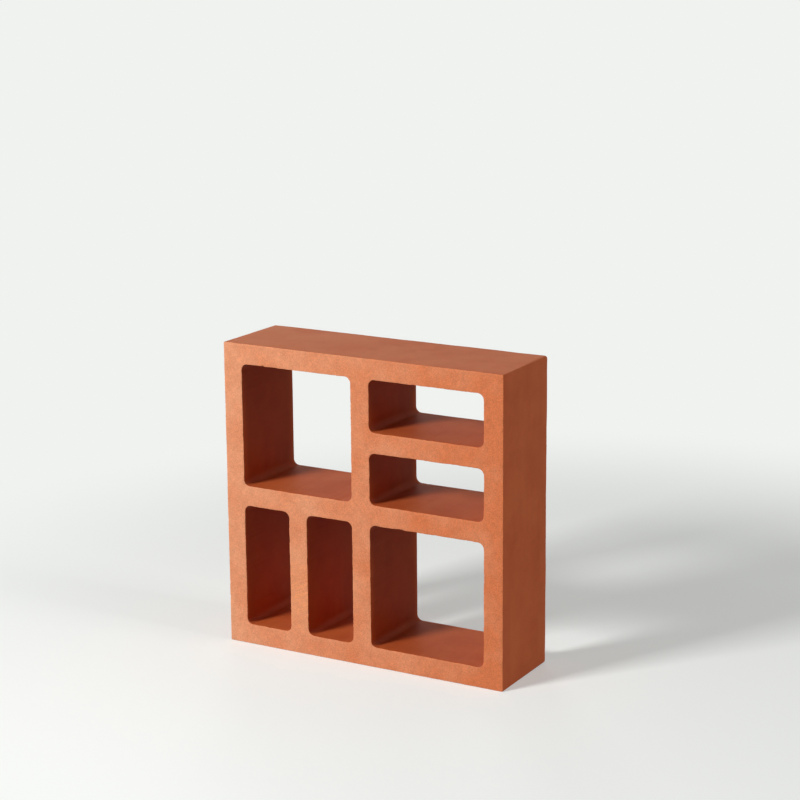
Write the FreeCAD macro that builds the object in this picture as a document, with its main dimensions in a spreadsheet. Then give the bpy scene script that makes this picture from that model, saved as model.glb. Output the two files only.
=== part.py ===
"""A square screen-wall block with six openings, cast or pressed as one piece.

Frame: millimetres, +Z up, X along the wall, Y through it. The origin is at the middle of the bed
face that the block stands on. The struck face looks towards -Y and the moulded face towards +Y.

Two crossing ribs part the square into four equal quarters. Two quarters, on one diagonal, are open
in full. The other two are split by one more rib each, the upper right one into two flat slots and
the lower left one into two upright slots. So the block is its own mirror image about that diagonal.
"""

import os

import FreeCAD
import Part
import Sketcher

# Driving dimensions, in millimetres: alias, value, what it is.
SIZES = (
    ("block_width", 300.0, "overall, along the wall"),
    ("block_height", 300.0, "overall, upright"),
    ("block_depth", 90.0, "overall, through the wall"),
    ("outer_wall", 20.0, "frame round the openings"),
    ("cross_rib", 20.0, "ribs between the four quarters"),
    ("slot_rib", 20.0, "rib between two slots of one quarter"),
    ("corner_radius", 6.0, "inner corners of every opening"),
    ("struck_arris", 0.6, "rounding of the outline on the struck face"),
    ("moulded_arris", 2.0, "rounding of the outline on the moulded face"),
    ("opening_arris", 0.6, "rounding of each opening's rim, on both faces"),
)

# The four quarters, as expressions in the sheet's sizes. Each quarter starts at its low corner.
QUARTER_WIDTH = "(Sizes.block_width - 2 * Sizes.outer_wall - Sizes.cross_rib) / 2"
QUARTER_HEIGHT = "(Sizes.block_height - 2 * Sizes.outer_wall - Sizes.cross_rib) / 2"
LEFT = "(Sizes.outer_wall - Sizes.block_width / 2)"
RIGHT = "(Sizes.cross_rib / 2)"
LOWER = "Sizes.outer_wall"
UPPER = "((Sizes.block_height + Sizes.cross_rib) / 2)"

# A slot is half of what is left of its quarter beside the slot rib.
SLOT_WIDTH = f"({QUARTER_WIDTH} - Sizes.slot_rib) / 2"
SLOT_HEIGHT = f"({QUARTER_HEIGHT} - Sizes.slot_rib) / 2"
NEXT_SLOT_RIGHT = f"({LEFT} + {SLOT_WIDTH} + Sizes.slot_rib)"
NEXT_SLOT_UP = f"({UPPER} + {SLOT_HEIGHT} + Sizes.slot_rib)"

# Every opening: name, low X, low Z, width, height.
OPENINGS = (
    ("square_upper_left", LEFT, UPPER, QUARTER_WIDTH, QUARTER_HEIGHT),
    ("square_lower_right", RIGHT, LOWER, QUARTER_WIDTH, QUARTER_HEIGHT),
    ("flat_slot_lower", RIGHT, UPPER, QUARTER_WIDTH, SLOT_HEIGHT),
    ("flat_slot_upper", RIGHT, NEXT_SLOT_UP, QUARTER_WIDTH, SLOT_HEIGHT),
    ("upright_slot_left", LEFT, LOWER, SLOT_WIDTH, QUARTER_HEIGHT),
    ("upright_slot_right", NEXT_SLOT_RIGHT, LOWER, SLOT_WIDTH, QUARTER_HEIGHT),
)

# Two places closer than this, in millimetres, are the same place.
TOUCH = 1e-4


def make_sheet(doc):
    """Puts the driving dimensions in a spreadsheet, one alias for each."""
    sheet = doc.addObject("Spreadsheet::Sheet", "Sizes")
    for row, (alias, value, meaning) in enumerate(SIZES, start=1):
        sheet.set(f"A{row}", alias)
        sheet.set(f"B{row}", str(value))
        sheet.set(f"C{row}", meaning)
        sheet.setAlias(f"B{row}", alias)
    doc.recompute()
    return sheet


def wall_plane_sketch(body, name):
    """A sketch on the body's own XZ plane: its x is the block's X, and its y the block's Z."""
    plane = next(f for f in body.Origin.OriginFeatures if f.Role == "XZ_Plane")
    sketch = body.newObject("Sketcher::SketchObject", name)
    sketch.AttachmentSupport = [(plane, "")]
    sketch.MapMode = "FlatFace"
    return sketch


def bind(sketch, constraint, name, expression):
    """Adds a named dimension to a sketch and ties it to the sheet."""
    index = sketch.addConstraint(constraint)
    sketch.renameConstraint(index, name)
    sketch.setExpression(f"Constraints.{name}", expression)


def add_outline(doc, body):
    """The slab that the openings go through, half its depth to each side of the XZ plane."""
    sizes = doc.Sizes
    sketch = wall_plane_sketch(body, "outline")
    half = sizes.block_width / 2
    corners = [
        FreeCAD.Vector(-half, 0, 0),
        FreeCAD.Vector(half, 0, 0),
        FreeCAD.Vector(half, sizes.block_height, 0),
        FreeCAD.Vector(-half, sizes.block_height, 0),
    ]
    for i in range(4):
        sketch.addGeometry(Part.LineSegment(corners[i], corners[(i + 1) % 4]))
    for i in range(4):
        sketch.addConstraint(Sketcher.Constraint("Coincident", i, 2, (i + 1) % 4, 1))
    for i in (1, 2, 3):
        sketch.addConstraint(Sketcher.Constraint("Vertical" if i % 2 else "Horizontal", i))
    # The bed edge starts on the sketch's x axis, and its two ends are alike about the y axis.
    sketch.addConstraint(Sketcher.Constraint("PointOnObject", 0, 1, -1))
    sketch.addConstraint(Sketcher.Constraint("Symmetric", 0, 1, 0, 2, -2))
    width = Sketcher.Constraint("DistanceX", 0, 1, 0, 2, float(2 * half))
    height = Sketcher.Constraint("DistanceY", 1, 1, 1, 2, float(sizes.block_height))
    bind(sketch, width, "width", "Sizes.block_width")
    bind(sketch, height, "height", "Sizes.block_height")
    slab = body.newObject("PartDesign::Pad", "slab")
    slab.Profile = sketch
    slab.Midplane = True
    slab.setExpression("Length", "Sizes.block_depth")
    doc.recompute()
    return slab


def length_of(sheet, expression):
    """What an expression in the sheet's sizes comes to, as a plain number of millimetres."""
    result = sheet.evalExpression(expression)
    return float(getattr(result, "Value", result))


def add_opening(doc, body, name, low_x, low_z, width, height):
    """One opening with round inner corners, right through the block."""
    x, z, across, up = (length_of(doc.Sizes, each) for each in (low_x, low_z, width, height))
    radius = float(doc.Sizes.corner_radius)

    sketch = wall_plane_sketch(body, f"{name}_outline")
    # Four sides, anticlockwise from the sill, each stopping short of the corners by the radius.
    # The arc that follows side i has the index 4 + i.
    turns = (
        (x + across - radius, z + radius, -90),
        (x + across - radius, z + up - radius, 0),
        (x + radius, z + up - radius, 90),
        (x + radius, z + radius, 180),
    )
    sides = (
        ((x + radius, z), (x + across - radius, z)),
        ((x + across, z + radius), (x + across, z + up - radius)),
        ((x + across - radius, z + up), (x + radius, z + up)),
        ((x, z + up - radius), (x, z + radius)),
    )
    for start, end in sides:
        sketch.addGeometry(Part.LineSegment(FreeCAD.Vector(*start, 0), FreeCAD.Vector(*end, 0)))
    for centre_x, centre_z, begin in turns:
        circle = Part.Circle(FreeCAD.Vector(centre_x, centre_z, 0), FreeCAD.Vector(0, 0, 1), radius)
        first = FreeCAD.Units.Quantity(begin, FreeCAD.Units.Angle).getValueAs("rad")
        last = FreeCAD.Units.Quantity(begin + 90, FreeCAD.Units.Angle).getValueAs("rad")
        sketch.addGeometry(Part.ArcOfCircle(circle, float(first), float(last)))
    for i in range(4):
        sketch.addConstraint(Sketcher.Constraint("Tangent", i, 2, 4 + i, 1))
        sketch.addConstraint(Sketcher.Constraint("Tangent", 4 + i, 2, (i + 1) % 4, 1))
        sketch.addConstraint(Sketcher.Constraint("Vertical" if i % 2 else "Horizontal", i))
    for i in range(5, 8):
        sketch.addConstraint(Sketcher.Constraint("Equal", 4, i))
    bind(sketch, Sketcher.Constraint("Radius", 4, radius), "corner", "Sizes.corner_radius")
    bind(sketch, Sketcher.Constraint("DistanceX", -1, 1, 3, 1, x), "low_x", low_x)
    bind(sketch, Sketcher.Constraint("DistanceY", -1, 1, 0, 1, z), "low_z", low_z)
    bind(sketch, Sketcher.Constraint("DistanceX", 3, 1, 1, 1, across), "width", width)
    bind(sketch, Sketcher.Constraint("DistanceY", 0, 1, 2, 1, up), "height", height)

    pocket = body.newObject("PartDesign::Pocket", name)
    pocket.Profile = sketch
    pocket.Type = "ThroughAll"
    pocket.Midplane = True
    doc.recompute()
    return pocket


def rim_edges(doc, shape, face_y, on_outline):
    """Names of the edges on the face at face_y: those of the outline, or those of the openings."""
    half = doc.Sizes.block_width / 2
    top = doc.Sizes.block_height
    names = []
    for number, edge in enumerate(shape.Edges, start=1):
        box = edge.BoundBox
        if abs(box.YMin - face_y) > TOUCH or abs(box.YMax - face_y) > TOUCH:
            continue
        outer = (
            box.XMax < TOUCH - half
            or box.XMin > half - TOUCH
            or box.ZMax < TOUCH
            or box.ZMin > top - TOUCH
        )
        if outer == on_outline:
            names.append(f"Edge{number}")
    return names


def round_edges(doc, body, name, edges, radius):
    """Rounds the named edges of the body's last feature."""
    last = body.Tip
    fillet = body.newObject("PartDesign::Fillet", name)
    fillet.Base = (last, edges)
    fillet.setExpression("Radius", radius)
    doc.recompute()
    return fillet


def make_block(doc):
    """The whole block, as one body."""
    body = doc.addObject("PartDesign::Body", "breeze_block")
    body.Label = "breeze_block"
    body.Placement = FreeCAD.Placement()
    add_outline(doc, body)
    for opening in OPENINGS:
        add_opening(doc, body, *opening)
    struck = -doc.Sizes.block_depth / 2
    moulded = doc.Sizes.block_depth / 2
    roundings = (
        ("struck_outline", struck, True, "Sizes.struck_arris"),
        ("moulded_outline", moulded, True, "Sizes.moulded_arris"),
        ("struck_rims", struck, False, "Sizes.opening_arris"),
        ("moulded_rims", moulded, False, "Sizes.opening_arris"),
    )
    for name, face_y, on_outline, radius in roundings:
        edges = rim_edges(doc, body.Shape, face_y, on_outline)
        round_edges(doc, body, name, edges, radius)
    return body


def check(doc, body):
    """Stops the build if a feature failed or the block isn't one valid solid with its openings."""
    for item in doc.Objects:
        if {"Invalid", "Error"} & set(item.State):
            raise RuntimeError(f"{item.Name} failed: {item.State}")
    shape = body.Shape
    if shape.isNull() or not shape.isValid() or len(shape.Solids) != 1:
        raise RuntimeError("the block is not one valid solid")
    sizes = doc.Sizes
    slab = sizes.block_width * sizes.block_height * sizes.block_depth
    print(f"{body.Label}: {shape.Volume / 1000:.1f} cm3 of a {slab / 1000:.1f} cm3 slab")


def main():
    doc = FreeCAD.newDocument("screen_block")
    make_sheet(doc)
    body = make_block(doc)
    check(doc, body)
    os.makedirs("parts", exist_ok=True)
    body.Shape.exportStep(os.path.join("parts", f"{body.Label}.step"))


main()
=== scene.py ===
# %% [markdown]
# # A square screen-wall block in dyed concrete
#
# A block like this is made in one piece. A stiff, sandy mix is packed into a steel mould with six
# cores standing in it, the open face is struck off level with a bar, and the mould is drawn away.
# So one face is struck, dry and sandy, and every other face has the close skin that the steel
# leaves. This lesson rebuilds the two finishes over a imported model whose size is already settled.
#
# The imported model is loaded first. Its box is kept, to show at the end that nothing grew.

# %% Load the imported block
import math
import random
import bmesh
import bpy
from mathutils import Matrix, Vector, geometry, noise


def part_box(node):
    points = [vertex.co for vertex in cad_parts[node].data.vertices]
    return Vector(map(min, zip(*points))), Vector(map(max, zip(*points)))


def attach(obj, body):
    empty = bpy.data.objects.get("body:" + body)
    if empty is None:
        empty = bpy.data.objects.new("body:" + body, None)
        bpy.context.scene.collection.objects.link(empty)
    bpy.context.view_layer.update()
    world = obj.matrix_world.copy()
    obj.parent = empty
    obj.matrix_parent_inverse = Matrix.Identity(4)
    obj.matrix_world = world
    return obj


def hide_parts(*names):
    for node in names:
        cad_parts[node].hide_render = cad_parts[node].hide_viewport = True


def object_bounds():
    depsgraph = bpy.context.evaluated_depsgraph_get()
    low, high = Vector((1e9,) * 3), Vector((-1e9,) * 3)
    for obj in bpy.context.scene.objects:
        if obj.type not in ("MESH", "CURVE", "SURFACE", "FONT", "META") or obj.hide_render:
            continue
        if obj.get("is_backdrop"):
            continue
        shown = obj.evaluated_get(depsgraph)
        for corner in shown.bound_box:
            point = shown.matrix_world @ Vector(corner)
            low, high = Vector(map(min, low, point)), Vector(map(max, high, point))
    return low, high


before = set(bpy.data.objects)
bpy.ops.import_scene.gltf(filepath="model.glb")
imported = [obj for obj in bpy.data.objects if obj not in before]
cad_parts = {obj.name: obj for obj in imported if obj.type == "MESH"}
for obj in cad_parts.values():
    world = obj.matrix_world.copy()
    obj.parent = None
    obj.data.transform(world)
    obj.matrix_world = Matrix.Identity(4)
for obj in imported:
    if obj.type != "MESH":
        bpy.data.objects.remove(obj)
cad_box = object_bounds()
block_low, block_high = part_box("breeze_block")
MM = 0.001
print("packed box in mm:", [[round(v / MM, 1) for v in corner] for corner in cad_box])

# %% [markdown]
# ## The camera
#
# A product photographer stands well back with a long lens, so that the block's edges stay almost
# parallel. The tripod is to the right of the struck face and a little above it, which shows the
# face, the top and one side at once. A camera could also be aimed by a Track To constraint, but
# three plain angles are easier to read and to change, and they can hold the slight roll.

# %% Stand the camera
LENS_MM = 103.4
SENSOR_MM = 36.0
TRIPOD = (1.0625, -1.8175, 0.7650)
TILT, ROLL, PAN = 76.254, 0.457, 29.779

camera_data = bpy.data.cameras.new("camera")
camera_data.lens = LENS_MM
camera_data.sensor_width = SENSOR_MM
camera = bpy.data.objects.new("camera", camera_data)
camera.location = TRIPOD
camera.rotation_euler = (math.radians(TILT), math.radians(ROLL), math.radians(PAN))
bpy.context.collection.objects.link(camera)
bpy.context.scene.camera = camera
bpy.context.scene.view_settings.view_transform = "Standard"
print("camera stands", round((Vector(TRIPOD) - (block_low + block_high) / 2).length, 2), "m away")

# %% [markdown]
# ## Where the openings are
#
# Two ribs cross in the middle and part the square into four quarters. Two quarters on one
# diagonal are open in full, and the other two are split into a pair of slots each. Drawing the
# six openings from a few widths, and not from six lists of corners, keeps every rib equal.

# %% Lay out the six openings
OUTER_WALL = 20 * MM
RIB = 20 * MM
CORNER = 6 * MM

left, right = block_low.x + OUTER_WALL, block_high.x - OUTER_WALL
bottom, top = block_low.z + OUTER_WALL, block_high.z - OUTER_WALL
middle_x = (block_low.x + block_high.x) / 2
middle_z = (block_low.z + block_high.z) / 2
rib_left, rib_right = middle_x - RIB / 2, middle_x + RIB / 2
rib_under, rib_over = middle_z - RIB / 2, middle_z + RIB / 2
slot_width = (rib_left - left - RIB) / 2
slot_height = (top - rib_over - RIB) / 2

openings = {
    "square_upper_left": (left, rib_over, rib_left, top),
    "square_lower_right": (rib_right, bottom, right, rib_under),
    "flat_slot_lower": (rib_right, rib_over, right, rib_over + slot_height),
    "flat_slot_upper": (rib_right, top - slot_height, right, top),
    "upright_slot_left": (left, bottom, left + slot_width, rib_under),
    "upright_slot_right": (rib_left - slot_width, bottom, rib_left, rib_under),
}
for name, (x0, z0, x1, z1) in openings.items():
    print(f"{name}: {(x1 - x0) / MM:.0f} x {(z1 - z0) / MM:.0f} mm")

# %% [markdown]
# ## Walking round each edge
#
# The outline and the six openings are seven closed loops, and each becomes a wall right through
# the block. A loop is kept as points with the direction that the wall there faces. The points
# are close together, because the worn edges made later need them. The openings' corners are
# round so that the cores draw out of the fresh mix, and the outline's corners are almost sharp.

# %% Make the seven loops
STEP = 1.5 * MM
ARC_STEPS = 7
STRUCK_CORNER = 0.8 * MM
MOULDED_CORNER = 2.8 * MM


def walk_round(x0, z0, x1, z1, radius, facing):
    """Points round a rectangle with round corners, each with the way its wall faces."""
    centres = (
        Vector((x1 - radius, 0, z1 - radius)),
        Vector((x0 + radius, 0, z1 - radius)),
        Vector((x0 + radius, 0, z0 + radius)),
        Vector((x1 - radius, 0, z0 + radius)),
    )
    sides = (x1 - x0, z1 - z0, x1 - x0, z1 - z0)
    loop = []
    for quarter in range(4):
        for i in range(ARC_STEPS + 1):
            angle = math.radians(90 * (quarter + i / ARC_STEPS))
            away = Vector((math.cos(angle), 0, math.sin(angle)))
            loop.append((centres[quarter] + away * radius, away * facing))
        start = centres[quarter] + away * radius
        end = centres[(quarter + 1) % 4] + away * radius
        parts = round(sides[quarter] / STEP)
        for k in range(1, parts):
            loop.append((start.lerp(end, k / parts), away * facing))
    return loop


outline = (block_low.x, block_low.z, block_high.x, block_high.z)
struck_loops = {"outline": walk_round(*outline, STRUCK_CORNER, 1)}
moulded_loops = {"outline": walk_round(*outline, MOULDED_CORNER, 1)}
for name, opening in openings.items():
    struck_loops[name] = moulded_loops[name] = walk_round(*opening, CORNER, -1)
print(sum(len(loop) for loop in struck_loops.values()), "points in", len(struck_loops), "loops")

# %% [markdown]
# ## Edges that have been handled
#
# No edge of a cast block is a clean line. Grains drop out of it when it leaves the mould, and it
# takes small knocks in the yard. A Bevel modifier would round every edge alike, so the rounding
# here is a radius that wanders along the loop: fine noise for the missing grains, slower noise
# for wear, and a few seeded knocks where a crumb has gone. The struck face keeps a crisp edge,
# and the face that lay in the mould has a softer one.

# %% Give each loop its own worn edge
STRUCK_EDGE = 0.35 * MM
MOULDED_EDGE = 2.0 * MM
OPENING_EDGE = 0.45 * MM
TORN_GRAIN = 0.16 * MM
TORN_RIM = 0.38 * MM
STRUCK_KNOCK_EVERY = 60 * MM
MOULDED_KNOCK_EVERY = 240 * MM
RIM_WAVER = 0.42 * MM
OUTLINE_WAVER = 0.15 * MM
SLOW_TEAR = 9 * MM
QUICK_TEAR = 2.4 * MM
GRAIN_ACROSS = 1.6 * MM
WEAR_ACROSS = 22 * MM
LEAST_EDGE = 0.12 * MM
STRUCK_SEED = 3.1
MOULDED_SEED = 40.7
chance = random.Random(11)


def knocks_along(loop, every):
    """Places along a loop where a crumb is missing: how far round, how long, how deep."""
    length = STEP * len(loop)
    knocks = []
    for _ in range(round(length / every)):
        place = chance.uniform(0, length)
        knocks.append((place, chance.uniform(0.7, 2.6) * MM, chance.uniform(0.2, 1.0) * MM))
    return knocks


def wavering(loop, deep):
    """The loop with its line worn back here and there, where the struck paste tore."""
    torn = []
    for point, way in loop:
        slow = noise.noise(point / SLOW_TEAR + Vector((7, 1, 0)))
        quick = noise.noise(point / QUICK_TEAR + Vector((0, 4, 9)))
        worn = deep * max(0.0, 0.25 + 0.9 * slow + 0.55 * quick)
        torn.append((point - way * worn, way))
    return torn


def edge_radii(loop, plain, ragged, every, seed):
    """The rounding at every point of a loop, from its plain radius, the grain and the knocks."""
    knocks = knocks_along(loop, every)
    radii = []
    for i, (point, _) in enumerate(loop):
        grain = noise.noise(point / GRAIN_ACROSS + Vector((seed, 0, 0)))
        wear = noise.noise(point / WEAR_ACROSS + Vector((0, seed, 0)))
        radius = plain * (1 + 0.35 * wear) + ragged * grain
        for place, long, deep in knocks:
            away = abs(i * STEP - place) / long
            radius += deep * math.exp(-2.5 * away * away)
        radii.append(max(LEAST_EDGE, radius))
    return radii


struck_radii = {}
moulded_radii = {}
for number, name in enumerate(struck_loops):
    on_outline = name == "outline"
    struck_edge = STRUCK_EDGE if on_outline else OPENING_EDGE
    moulded_edge = MOULDED_EDGE if on_outline else OPENING_EDGE
    torn = TORN_GRAIN if on_outline else TORN_RIM
    struck_loops[name] = wavering(struck_loops[name], OUTLINE_WAVER if on_outline else RIM_WAVER)
    struck_radii[name] = edge_radii(
        struck_loops[name], struck_edge, torn, STRUCK_KNOCK_EVERY, STRUCK_SEED + number
    )
    moulded_radii[name] = edge_radii(
        moulded_loops[name], moulded_edge, TORN_GRAIN, MOULDED_KNOCK_EVERY, MOULDED_SEED + number
    )
widest = max(max(radii) for radii in struck_radii.values())
print(f"struck edge: {STRUCK_EDGE / MM:.2f} mm as struck, {widest / MM:.2f} mm at the deepest knock")

# %% [markdown]
# ## The walls
#
# Each wall is a strip of rows that runs from the struck face to the moulded face. The first and
# last few rows bend round the worn edge, and the rows between them are flat. The strips are made
# as plain mesh rows, since a Boolean cut would leave long thin triangles that no later step
# could roughen.

# %% Build the seven walls
EDGE_ROWS = 3
WALL_ROWS = 17
struck_y, moulded_y = block_low.y, block_high.y
block = bmesh.new()


def bend(point, way, radius, face_y, inward, turn):
    """A point on the rounded edge: turn 0 lies on the face, and turn 1 on the wall."""
    angle = math.radians(90 * turn)
    along = -radius * (1 - math.sin(angle))
    depth = inward * radius * (1 - math.cos(angle))
    return Vector((point.x, face_y + depth, point.z)) + way * along


def wall_rows(name):
    """Every row of one wall, from the struck face to the moulded face."""
    struck = list(zip(struck_loops[name], struck_radii[name]))
    moulded = list(zip(moulded_loops[name], moulded_radii[name]))
    rows = []
    backs = []
    for k in range(EDGE_ROWS + 1):
        turn = k / EDGE_ROWS
        rows.append([bend(p, w, r, struck_y, 1, turn) for (p, w), r in struck])
        backs.append([bend(p, w, r, moulded_y, -1, turn) for (p, w), r in moulded])
    first, last = rows[-1], backs[-1]
    for k in range(1, WALL_ROWS):
        share = (1 - math.cos(math.pi * k / WALL_ROWS)) / 2
        share = 0.5 * share + 0.5 * k / WALL_ROWS
        rows.append([a.lerp(b, share) for a, b in zip(first, last)])
    return rows + backs[::-1]


face_rims = {"struck": [], "moulded": []}
for name in struck_loops:
    rows = wall_rows(name)
    made = [[block.verts.new(point) for point in row] for row in rows]
    for row, following in zip(made, made[1:]):
        for i in range(len(row)):
            j = (i + 1) % len(row)
            block.faces.new((row[i], row[j], following[j], following[i]))
    face_rims["struck"].append(made[0])
    face_rims["moulded"].append(made[-1])
print(len(block.faces), "faces in the walls")

# %% [markdown]
# ## The two flat faces
#
# Between the rims each face is one flat sheet with six holes. A single many-sided face would
# render flat, but it couldn't carry the height of the sand. So the sheet is filled with
# scattered points, joined by a Delaunay triangulation that respects the rims, and the triangles
# that fall inside a hole are left out. The struck face gets the finer net, as it has the detail.

# %% Fill the struck face and the moulded face
STRUCK_NET = 1.3 * MM
MOULDED_NET = 2.3 * MM
STRUCK_MARGIN = 2.0 * MM
MOULDED_MARGIN = 3.2 * MM
SCATTER = 0.3


def in_solid(x, z, margin):
    """True where the face is solid at least a margin away from every rim."""
    if not (block_low.x + margin < x < block_high.x - margin):
        return False
    if not (block_low.z + margin < z < block_high.z - margin):
        return False
    for x0, z0, x1, z1 in openings.values():
        if x0 - margin < x < x1 + margin and z0 - margin < z < z1 + margin:
            return False
    return True


def inside(x, z, rim):
    """True where a spot lies inside a closed rim: a level line from it crosses the rim oddly."""
    crossings = 0
    for a, b in zip(rim, rim[1:] + rim[:1]):
        if (a.co.z > z) != (b.co.z > z):
            if x < a.co.x + (z - a.co.z) / (b.co.z - a.co.z) * (b.co.x - a.co.x):
                crossings += 1
    return crossings % 2 == 1


def fill_face(rims, y, net, margin):
    """Triangles between the rims of one face, on a net of scattered points."""
    known = [vert for rim in rims for vert in rim]
    rim_of = [number for number, rim in enumerate(rims) for _ in rim]
    points = [Vector((vert.co.x, vert.co.z)) for vert in known]
    edges = []
    start = 0
    for rim in rims:
        edges += [(start + i, start + (i + 1) % len(rim)) for i in range(len(rim))]
        start += len(rim)
    columns = int((block_high.x - block_low.x) / net)
    rows = int((block_high.z - block_low.z) / net)
    for i in range(columns + 1):
        for k in range(rows + 1):
            x = block_low.x + (i + chance.uniform(-SCATTER, SCATTER)) * net
            z = block_low.z + (k + chance.uniform(-SCATTER, SCATTER)) * net
            if in_solid(x, z, margin):
                points.append(Vector((x, z)))
    flat, _, triangles, sources, _, _ = geometry.delaunay_2d_cdt(points, edges, [], 0, 1e-9)
    verts = []
    for spot, source in zip(flat, sources):
        if source and source[0] < len(known):
            verts.append(known[source[0]])
        else:
            verts.append(block.verts.new((spot.x, y, spot.y)))
    for triangle in triangles:
        on_rims = set()
        for i in triangle:
            source = sources[i][0]
            on_rims.add(rim_of[source] if source < len(known) else None)
        if len(on_rims) == 1 and None not in on_rims:
            # All three corners are on one rim, so the triangle may lie in a hole or off the face.
            rim = on_rims.pop()
            centre = sum((flat[i] for i in triangle), Vector((0, 0))) / 3
            is_outline = rim == 0
            if inside(centre.x, centre.y, rims[rim]) != is_outline:
                continue
        block.faces.new([verts[i] for i in triangle])
    return len(points)


on_struck = fill_face(face_rims["struck"], struck_y, STRUCK_NET, STRUCK_MARGIN)
print(on_struck, "points on the struck face")
on_moulded = fill_face(face_rims["moulded"], moulded_y, MOULDED_NET, MOULDED_MARGIN)
print(on_moulded, "points on the moulded face")

bmesh.ops.recalc_face_normals(block, faces=block.faces)
open_edges = sum(1 for edge in block.edges if len(edge.link_faces) != 2)
print(len(block.faces), "faces in all, and", open_edges, "edges left open")

# %% [markdown]
# ## Sand, hollows and bar marks
#
# Now the surface itself. The struck face is sandy, so its points rise and fall by about a tenth
# of a millimetre, and the strike-off bar has dragged faint slanting grooves across it. The skin
# from the mould only swells and dips gently. All of it is moved inward along the normals: a
# Displace modifier with a texture could do the same, but here the finish depends on the face.

# %% Shape the surface
SAND_DEEP = 0.13 * MM
SAND_ACROSS = 1.9 * MM
SWELL_DEEP = 0.22 * MM
SWELL_ACROSS = 34 * MM
GROOVE_DEEP = 0.09 * MM
GROOVE_PITCH = 2.9 * MM
GROOVE_SLANT = Vector((-0.45, 0, 0.89))
DRAG_MARKS = Vector((rib_left - slot_width - RIB / 2, struck_y, bottom + 42 * MM))
DRAG_REACH = 34 * MM
SKIN_DEPTH = 1.2 * MM
GROOVE_SWAY = 2.5 * MM
SWAY_ACROSS = 18 * MM
PATCH_ACROSS = 45 * MM


def how_struck(point):
    """One on the struck face, falling to nought a little way in from it."""
    return max(0.0, 1 - (point.y - struck_y) / SKIN_DEPTH)


def dip(point):
    """How far inward the surface lies at a point."""
    swell = SWELL_DEEP * (0.5 + 0.5 * noise.noise(point / SWELL_ACROSS))
    struck = how_struck(point)
    if struck == 0:
        return swell
    sand = SAND_DEEP * (0.5 + 0.5 * noise.noise(point / SAND_ACROSS))
    along = point.dot(GROOVE_SLANT) + GROOVE_SWAY * noise.noise(point / SWAY_ACROSS)
    patch = max(0.0, noise.noise(point / PATCH_ACROSS + Vector((5, 0, 2))) + 0.1)
    patch += math.exp(-(((point - DRAG_MARKS).length / DRAG_REACH) ** 2))
    groove = GROOVE_DEEP * patch * (1 + math.sin(2 * math.pi * along / GROOVE_PITCH))
    return swell + struck * (sand + groove)


block.normal_update()
moves = [(vert, vert.normal * -dip(vert.co)) for vert in block.verts]
for vert, move in moves:
    vert.co += move
print(f"deepest dip {max(move.length for _, move in moves) / MM:.2f} mm")

mesh = bpy.data.meshes.new("concrete_block")
block.to_mesh(mesh)
block.free()
mesh.shade_smooth()
concrete_block = bpy.data.objects.new("concrete_block", mesh)
bpy.context.collection.objects.link(concrete_block)
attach(concrete_block, "root")
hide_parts("breeze_block")
mesh.calc_loop_triangles()
print(len(mesh.loop_triangles), "triangles in the block")

# %% [markdown]
# ## Dyed concrete
#
# The colour is a red oxide mixed into the batch, so it goes right through. Where steel was, the
# fine red paste is at the surface, and it is deep and a little smooth. Where the bar passed, dry
# sand and lime dust cover it, and it is paler and quite matt. One material holds both, mixed by
# how near a point is to the struck face, since two materials would meet in a hard line.

# %% Helpers for nodes
def add(nodes, kind, settings, **wires):
    """Adds a node, then wires or sets its sockets, by name or by number as s0, s1 and so on."""
    made = nodes.new(kind)
    for name, value in settings.items():
        setattr(made, name, value)
    for name, value in wires.items():
        by_number = name[1:].isdigit()
        socket = made.inputs[int(name[1:]) if by_number else name.replace("_", " ")]
        if isinstance(value, bpy.types.NodeSocket):
            nodes.id_data.links.new(value, socket)
        else:
            socket.default_value = value
    return made


def scale_between(nodes, value, low, high, to_low, to_high, way="LINEAR"):
    """Stretches one range of a value onto another, with its ends held."""
    settings = {"interpolation_type": way}
    ends = {"s1": low, "s2": high, "s3": to_low, "s4": to_high}
    return add(nodes, "ShaderNodeMapRange", settings, s0=value, **ends).outputs[0]


def speckle(nodes, place, per_metre, detail=2.0, roughness=0.5):
    """Cloudy noise, so many clouds to the metre."""
    made = add(
        nodes,
        "ShaderNodeTexNoise",
        {},
        Vector=place,
        Scale=per_metre,
        Detail=detail,
        Roughness=roughness,
    )
    return made.outputs["Fac"]


def blend_colours(nodes, share, first, second, way="MIX"):
    """Lays the second colour over the first."""
    settings = {"data_type": "RGBA", "blend_type": way}
    made = add(nodes, "ShaderNodeMix", settings, s0=share, s6=first, s7=second)
    return made.outputs[2]


def arithmetic(nodes, way, first, second):
    """One sum of two values."""
    return add(nodes, "ShaderNodeMath", {"operation": way}, s0=first, s1=second).outputs[0]


def distance_from(nodes, place, centre):
    """How far each point is from one centre."""
    made = add(nodes, "ShaderNodeVectorMath", {"operation": "DISTANCE"}, s0=place, s1=centre)
    return made.outputs["Value"]


def seen_by_camera(nodes):
    """One for what the camera sees, straight or mirrored, and nought for bounced light."""
    rays = add(nodes, "ShaderNodeLightPath", {})
    seen = arithmetic(nodes, "MAXIMUM", rays.outputs["Is Camera Ray"], rays.outputs["Is Glossy Ray"])
    return arithmetic(nodes, "MAXIMUM", seen, rays.outputs["Is Transmission Ray"])


print("node helpers ready")

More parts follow.
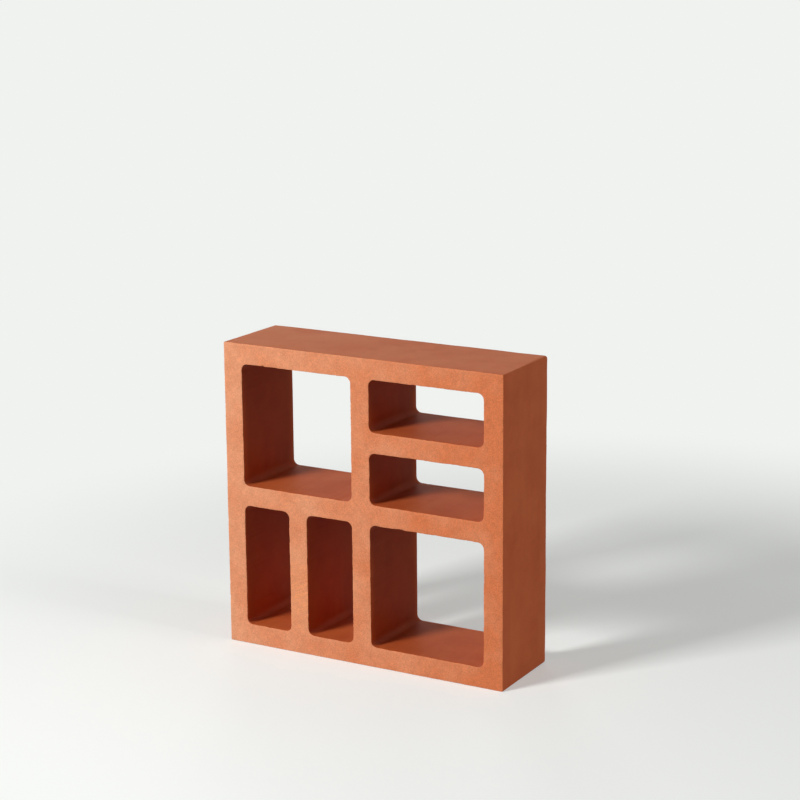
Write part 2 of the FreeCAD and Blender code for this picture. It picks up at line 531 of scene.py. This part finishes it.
# %% Name the tones and start the material
DUSTY = (0.79, 0.226, 0.089, 1)
# The pale tone serves both the dust clouds and the painted light at the left end.
PALE_DUST_AND_LIGHT = (0.88, 0.380, 0.203, 1)
RUBBED = (0.98, 0.38, 0.17, 1)
SKIN = (0.57, 0.125, 0.036, 1)
SKIN_DARK = (0.47, 0.085, 0.022, 1)
# Faces turned up: partly settled dust, partly painted sheen.
DUST_AND_SHEEN_TONE = (0.60, 0.188, 0.078, 1)
SHELTERED = 0.2
PINHOLE = (0.14, 0.022, 0.008, 1)
PINHOLE_CELLS = 130
# Painted shade inside the openings, multiplied over the skin.
PAINTED_SHADE_IN_OPENINGS = (0.94, 0.84, 0.66, 1)
CLOUDS_PER_METRE = 26
CRUMBS_PER_METRE = 150
GRAINS_PER_METRE = 900
STREAKS_PER_METRE = 420
RUNS_PER_METRE = 75

concrete = bpy.data.materials.new("dyed_concrete")
concrete.use_nodes = True
nodes = concrete.node_tree.nodes
shader = nodes["Principled BSDF"]
place = add(nodes, "ShaderNodeTexCoord", {}).outputs["Object"]
split = add(nodes, "ShaderNodeSeparateXYZ", {}, Vector=place)
struck = scale_between(nodes, split.outputs["Y"], struck_y + 0.5 * MM, struck_y + 1.1 * MM, 1.0, 0.0)

clouds = speckle(nodes, place, CLOUDS_PER_METRE, 4.0, 0.55)
crumbs = speckle(nodes, place, CRUMBS_PER_METRE, 3.0, 0.6)
grains = speckle(nodes, place, GRAINS_PER_METRE, 3.0, 0.7)
print("struck finish to 0.5 mm deep, and moulded skin from 1.1 mm")

# %% [markdown]
# ### The struck face
#
# The face is painted paler towards its left end, a painted light falloff for the lamp on the left, which
# lights that end more. Dry dust lies over it in clouds.
# A painted map could hold this too, but a drift along X and a slow noise need no picture.

# %% Dust the struck face and paint its light falloff
# Painted light falloff: paler towards the left, where the lamp stands; the cloudy dust is added to it.
painted_light_falloff = scale_between(nodes, split.outputs["X"], block_low.x, block_high.x, 0.62, -0.25)
dust = arithmetic(nodes, "ADD", scale_between(nodes, clouds, 0.35, 0.68, 0.0, 0.5), painted_light_falloff)
struck_dust_and_light = blend_colours(nodes, dust, DUSTY, PALE_DUST_AND_LIGHT)

# Where the bar dragged hardest the paste was rubbed up: brighter, and streaked along the slant.
reach = distance_from(nodes, place, DRAG_MARKS)
rubbed = scale_between(nodes, reach, 0.2 * DRAG_REACH, 1.4 * DRAG_REACH, 1.0, 0.0)
slant = math.atan2(GROOVE_SLANT.x, GROOVE_SLANT.z)
turned = add(nodes, "ShaderNodeMapping", {}, Vector=place, Rotation=(0, -slant, 0)).outputs[0]
drawn = add(nodes, "ShaderNodeMapping", {}, Vector=turned, Scale=(0.12, 0.12, 1.0)).outputs[0]
streaks = scale_between(nodes, speckle(nodes, drawn, STREAKS_PER_METRE, 2.0, 0.5), 0.4, 0.62, 0.25, 1.0)
rubbed = arithmetic(nodes, "MULTIPLY", rubbed, streaks)
struck_dust_and_light = blend_colours(nodes, rubbed, struck_dust_and_light, RUBBED)
print("rubbed paste fades out", round(1.4 * DRAG_REACH / MM), "mm from the drag marks")

# %% [markdown]
# ### The skin from the steel
#
# Everywhere else the fine paste lay against steel and came out deep red, in soft clouds. The
# openings, where painted shade is laid over the skin, are told from the outside by position,
# which is simpler than a second material.

# %% Lay the moulded skin
skin = blend_colours(nodes, scale_between(nodes, clouds, 0.40, 0.75, 0.0, 0.8), SKIN, SKIN_DARK)

# Painted shade: inside the openings the skin is multiplied darker and redder, for the shade and the red
# bounce light between the walls.
across = arithmetic(nodes, "ABSOLUTE", split.outputs["X"], 0.0)
opening_shade_mask = scale_between(nodes, across, right + RIB / 8, right + RIB / 4, 1.0, 0.0)
upright = arithmetic(nodes, "ABSOLUTE", arithmetic(nodes, "SUBTRACT", split.outputs["Z"], middle_z), 0.0)
half_height = top - middle_z
above = scale_between(nodes, upright, half_height + RIB / 8, half_height + RIB / 4, 1.0, 0.0)
opening_shade_mask = arithmetic(nodes, "MULTIPLY", opening_shade_mask, above)
skin = blend_colours(nodes, opening_shade_mask, skin, PAINTED_SHADE_IN_OPENINGS, "MULTIPLY")

# Runs of paste down the upright faces: noise drawn out along Z.
drawn_out = add(nodes, "ShaderNodeMapping", {}, Vector=place, Scale=(1.0, 1.0, 0.07)).outputs[0]
runs = scale_between(nodes, speckle(nodes, drawn_out, RUNS_PER_METRE, 2.0, 0.5), 0.42, 0.72, 0.0, 0.3)
skin = blend_colours(nodes, runs, skin, SKIN_DARK)
print(len(nodes), "nodes after the skin")

# %% [markdown]
# ### Settled dust and painted sheen
#
# Whatever faces up is paler: partly dust that settles there, and partly a painted sheen, as
# if those faces caught the bright room at a low angle. Less of both is laid inside the openings,
# which are sheltered. The paleness is also painted fading to the right, a painted light falloff
# away from the lamp at the left. The surface normal finds those faces, so nothing has to be
# picked out by hand.

# %% Let the dust settle and paint the sheen
# Partly settled dust, partly painted sheen, on faces turned up.
facing = add(nodes, "ShaderNodeNewGeometry", {}).outputs["Normal"]
upward = add(nodes, "ShaderNodeSeparateXYZ", {}, Vector=facing).outputs["Z"]
dust_and_sheen = scale_between(nodes, upward, 0.5, 1.0, 0.0, 1.0)
dust_and_sheen = arithmetic(nodes, "MULTIPLY", dust_and_sheen, scale_between(nodes, clouds, 0.30, 0.62, 1.0, 0.45))
share_on_top = scale_between(nodes, split.outputs["Z"], block_high.z - OUTER_WALL, block_high.z, SHELTERED, 1.0)
dust_and_sheen = arithmetic(nodes, "MULTIPLY", dust_and_sheen, share_on_top)
# Painted light falloff: the pale tone fades towards the right, away from the lamp at the left.
painted_falloff_on_top = scale_between(nodes, split.outputs["X"], block_low.x, block_high.x, 1.0, 0.65)
dust_and_sheen = arithmetic(nodes, "MULTIPLY", dust_and_sheen, painted_falloff_on_top)
skin = blend_colours(nodes, dust_and_sheen, skin, DUST_AND_SHEEN_TONE)
print("dust inside the openings:", SHELTERED, "of the dust on top")

# %% [markdown]
# ### Pinholes
#
# Air trapped against the steel leaves a few small round holes in the skin. Each cell of a Voronoi
# texture has a centre and a random tone: the centre gives the round hole, and the tone picks the
# few cells that get one. Modelled holes this small would cost far more than they show.

# %% Prick the pinholes
cells = add(nodes, "ShaderNodeTexVoronoi", {}, Vector=place, Scale=PINHOLE_CELLS)
pinhole = scale_between(nodes, cells.outputs["Distance"], 0.04, 0.085, 1.0, 0.0)
draw = add(nodes, "ShaderNodeSeparateColor", {}, Color=cells.outputs["Color"]).outputs[0]
pinhole = arithmetic(nodes, "MULTIPLY", pinhole, scale_between(nodes, draw, 0.86, 0.87, 0.0, 1.0))
unstruck = arithmetic(nodes, "SUBTRACT", 1.0, struck)
pinhole = arithmetic(nodes, "MULTIPLY", pinhole, unstruck)
skin = blend_colours(nodes, arithmetic(nodes, "MULTIPLY", pinhole, 0.55), skin, PINHOLE)
print("pinholes in cells of", round(1 / PINHOLE_CELLS / MM, 1), "mm")

# %% [markdown]
# ### Grain, roughness and bump
#
# Last, the two finishes are joined, and sand grain is laid over both, weaker on the skin. The
# grain that is too fine for the mesh is left to a bump, as moving points that small would need
# many times the triangles.

# %% Join the finishes and add the grain
colour = blend_colours(nodes, struck, skin, struck_dust_and_light)
grain_tone = scale_between(nodes, grains, 0.3, 0.7, 0.83, 1.17)
crumb_tone = scale_between(nodes, crumbs, 0.3, 0.7, 0.94, 1.06)
grain_tone = arithmetic(nodes, "MULTIPLY", grain_tone, crumb_tone)
tone = add(nodes, "ShaderNodeCombineColor", {}, s0=grain_tone, s1=grain_tone, s2=grain_tone)
graininess = scale_between(nodes, struck, 0.0, 1.0, 0.25, 1.0)
colour = blend_colours(nodes, graininess, colour, tone.outputs[0], "MULTIPLY")
nodes.id_data.links.new(colour, shader.inputs["Base Color"])

roughness = scale_between(nodes, struck, 0.0, 1.0, 0.58, 0.92)
nodes.id_data.links.new(roughness, shader.inputs["Roughness"])
shader.inputs["Specular IOR Level"].default_value = 0.15

fine = speckle(nodes, place, GRAINS_PER_METRE, 3.0, 0.75)
strength = scale_between(nodes, struck, 0.0, 1.0, 0.12, 0.5)
height = arithmetic(nodes, "SUBTRACT", fine, arithmetic(nodes, "MULTIPLY", pinhole, 3.0))
bump = add(nodes, "ShaderNodeBump", {}, Strength=strength, Distance=0.3 * MM, Height=height)
nodes.id_data.links.new(bump.outputs["Normal"], shader.inputs["Normal"])
mesh.materials.append(concrete)
print(len(nodes), "nodes in the concrete")

# %% [markdown]
# ## The floor
#
# A pale sheet lies under the block, and far from it the sheet fades into the plain backdrop, as
# it does on a paper roll that curves up behind the object. A curved sheet could be modelled, but
# a fade keeps the backdrop one even tone from every side, and the block's shadow stays on it.

# %% Lay the floor
FLOOR_HALF = 12.0
FLOOR_TONE = (0.72, 0.735, 0.72, 1)
FLOOR_LIFT = 0.345
BACKDROP = (0.871, 0.888, 0.863, 1)
BOUNCE_TONE = (0.30, 0.30, 0.30, 1)
FADE_CENTRE = (0.12, 0.10, 0.0)
FADE_FROM, FADE_TO = 0.40, 0.85

floor_mesh = bpy.data.meshes.new("floor")
corners = [(-1, -1, 0), (1, -1, 0), (1, 1, 0), (-1, 1, 0)]
floor_mesh.from_pydata([Vector(corner) * FLOOR_HALF for corner in corners], [], [(0, 1, 2, 3)])
floor = bpy.data.objects.new("floor", floor_mesh)
floor.location.z = block_low.z
bpy.context.collection.objects.link(floor)
floor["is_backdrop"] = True

paper = bpy.data.materials.new("paper_floor")
paper.use_nodes = True
nodes = paper.node_tree.nodes
nodes.clear()
seen = seen_by_camera(nodes)
place = add(nodes, "ShaderNodeTexCoord", {}).outputs["Object"]
away = distance_from(nodes, place, FADE_CENTRE)
fade = scale_between(nodes, away, FADE_FROM, FADE_TO, 0.0, 1.0, "SMOOTHSTEP")
tone = blend_colours(nodes, seen, BOUNCE_TONE, FLOOR_TONE)
lit = add(nodes, "ShaderNodeBsdfDiffuse", {}, Color=tone)
lift = arithmetic(nodes, "MULTIPLY", seen, FLOOR_LIFT)
glow = add(nodes, "ShaderNodeEmission", {}, Color=BACKDROP, Strength=lift)
lit = add(nodes, "ShaderNodeAddShader", {}, s0=lit.outputs[0], s1=glow.outputs[0])
plain = add(nodes, "ShaderNodeEmission", {}, Color=BACKDROP, Strength=seen)
mixed = add(nodes, "ShaderNodeMixShader", {}, s0=fade, s1=lit.outputs[0], s2=plain.outputs[0])
add(nodes, "ShaderNodeOutputMaterial", {}, Surface=mixed.outputs[0])
floor_mesh.materials.append(paper)
print("floor fades out between", FADE_FROM, "and", FADE_TO, "m")

# %% [markdown]
# ## The light
#
# One large soft box stands to the left of the struck face and a little above it. It lights the
# face and reaches into the openings, where the left walls keep their own shade. Two weak boxes,
# one at the right and one low behind, keep the other faces readable. A sun lamp would give the
# same direction as the large box, but its shadows would be too hard for a studio.

# %% Set the lights
ROOM = 0.11
target = (block_low + block_high) / 2


def soft_box(name, azimuth, elevation, distance, size, watts):
    """A square lamp at a bearing from the struck face, aimed at the block."""
    lamp = bpy.data.lights.new(name, "AREA")
    lamp.size = size
    lamp.energy = watts
    turn, rise = math.radians(azimuth), math.radians(elevation)
    toward = Vector((math.sin(turn) * math.cos(rise), -math.cos(turn) * math.cos(rise), math.sin(rise)))
    stand = bpy.data.objects.new(name, lamp)
    stand.location = target + toward * distance
    stand.rotation_euler = toward.to_track_quat("Z", "Y").to_euler()
    bpy.context.collection.objects.link(stand)
    return stand


soft_box("key_light", azimuth=-27, elevation=29, distance=2.3, size=0.5, watts=47)
soft_box("side_fill", azimuth=90, elevation=18, distance=3.0, size=0.5, watts=26)
rear_fill = soft_box("rear_fill", azimuth=-145, elevation=9, distance=3.2, size=0.9, watts=22)

# Seen in the top at a low angle, the rear box would leave a sheen that dry concrete does not have.
rear_fill.visible_glossy = False

world = bpy.data.worlds.new("room")
bpy.context.scene.world = world
world.use_nodes = True
nodes = world.node_tree.nodes
nodes.clear()
seen = seen_by_camera(nodes)
room_light = add(nodes, "ShaderNodeBackground", {}, Color=(1, 1, 1, 1), Strength=ROOM)
backdrop = add(nodes, "ShaderNodeBackground", {}, Color=BACKDROP, Strength=1.0)
either = {"s1": room_light.outputs[0], "s2": backdrop.outputs[0]}
mixed = add(nodes, "ShaderNodeMixShader", {}, s0=seen, **either)
add(nodes, "ShaderNodeOutputWorld", {}, Surface=mixed.outputs[0])
print("three soft boxes, and a room at strength", ROOM)

# %% [markdown]
# ## Checking the size
#
# The finish was only ever moved inward, so the block has to fit the imported box it started from.

# %% Compare the boxes
block_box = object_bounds()
for side, before, after in zip("XYZ", *[(high - low) / MM for low, high in (cad_box, block_box)]):
    print(f"{side}: {before:.1f} mm packed, {after:.1f} mm finished")
